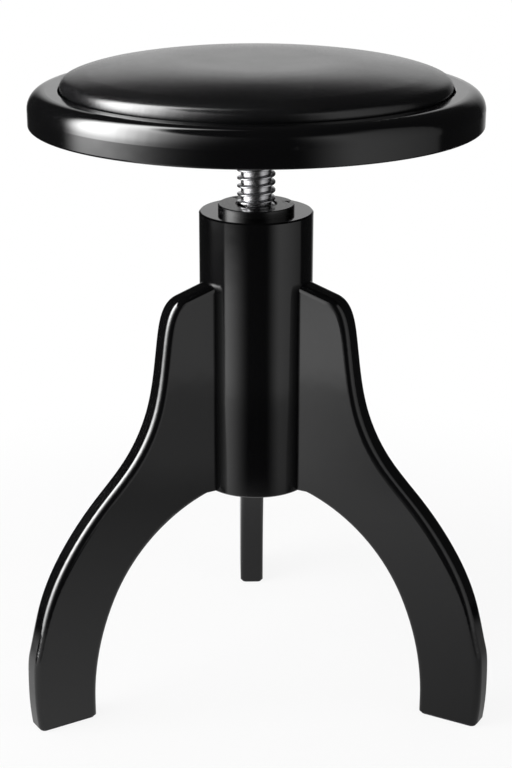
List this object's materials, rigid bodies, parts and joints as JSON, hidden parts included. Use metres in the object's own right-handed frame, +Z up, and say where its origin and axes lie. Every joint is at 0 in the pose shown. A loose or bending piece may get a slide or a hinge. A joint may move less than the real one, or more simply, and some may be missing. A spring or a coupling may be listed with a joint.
{
  "type": "revolving piano stool",
  "caption": "Round padded stool that turns up and down on a central screw, in a turned column on sawn S-shaped legs in black gloss lacquer.",
  "frame": {"origin": "on the floor, on the axis the seat turns about", "axes": "+Z up along the turning axis; +Y towards the rear leg, the one that points away from the pictured side; -Y is the pictured front"},
  "size_m": [0.3668, 0.383, 0.517],
  "materials": {
    "lacquered_wood": "black polished lacquer",
    "leather": "satin, fine grain",
    "polished_steel": "polished",
    "blackened_steel": "black gloss paint",
    "zinc_plated_steel": "bright zinc plated",
    "plywood": "plain birch plywood",
    "foam": "open-cell upholstery foam",
    "felt": "pressed wool felt"
  },
  "bodies": {
    "base": {"column": "lacquered_wood", "leg_rear": "lacquered_wood", "leg_left": "lacquered_wood", "leg_right": "lacquered_wood", "base_plate": "zinc_plated_steel", "base_plate_screws": "zinc_plated_steel", "foot_pad_rear": "felt", "foot_pad_left": "felt", "foot_pad_right": "felt", "spindle_nut": "blackened_steel", "nut_screws": "blackened_steel", "nut_grub_screw": "blackened_steel"},
    "lift": {"stop_washer": "zinc_plated_steel"},
    "seat": {"spindle": "polished_steel", "stop_bolt": "zinc_plated_steel", "seat_plate": "blackened_steel", "spindle_lock_nut": "zinc_plated_steel", "seat_plate_screws": "zinc_plated_steel", "seat_frame": "lacquered_wood", "pad_board": "plywood", "pad_foam": "foam", "pad_cover": "leather", "pad_screws": "zinc_plated_steel"}
  },
  "joints": [
    {"name": "screw_lift", "type": "slide", "parent": "base", "child": "lift", "axis": [0, 0, 1], "range_m": [-0.04447, 0.07622]},
    {"name": "seat_turn", "type": "hinge", "parent": "lift", "child": "seat", "pos_m": [0, 0, 0.4], "axis": [0, 0, 1], "range_deg": [-2520, 4320]}
  ],
  "couplings": [
    {"joint": "screw_lift", "follows": "seat_turn", "m_per_rad": 0.0010106}
  ]
}
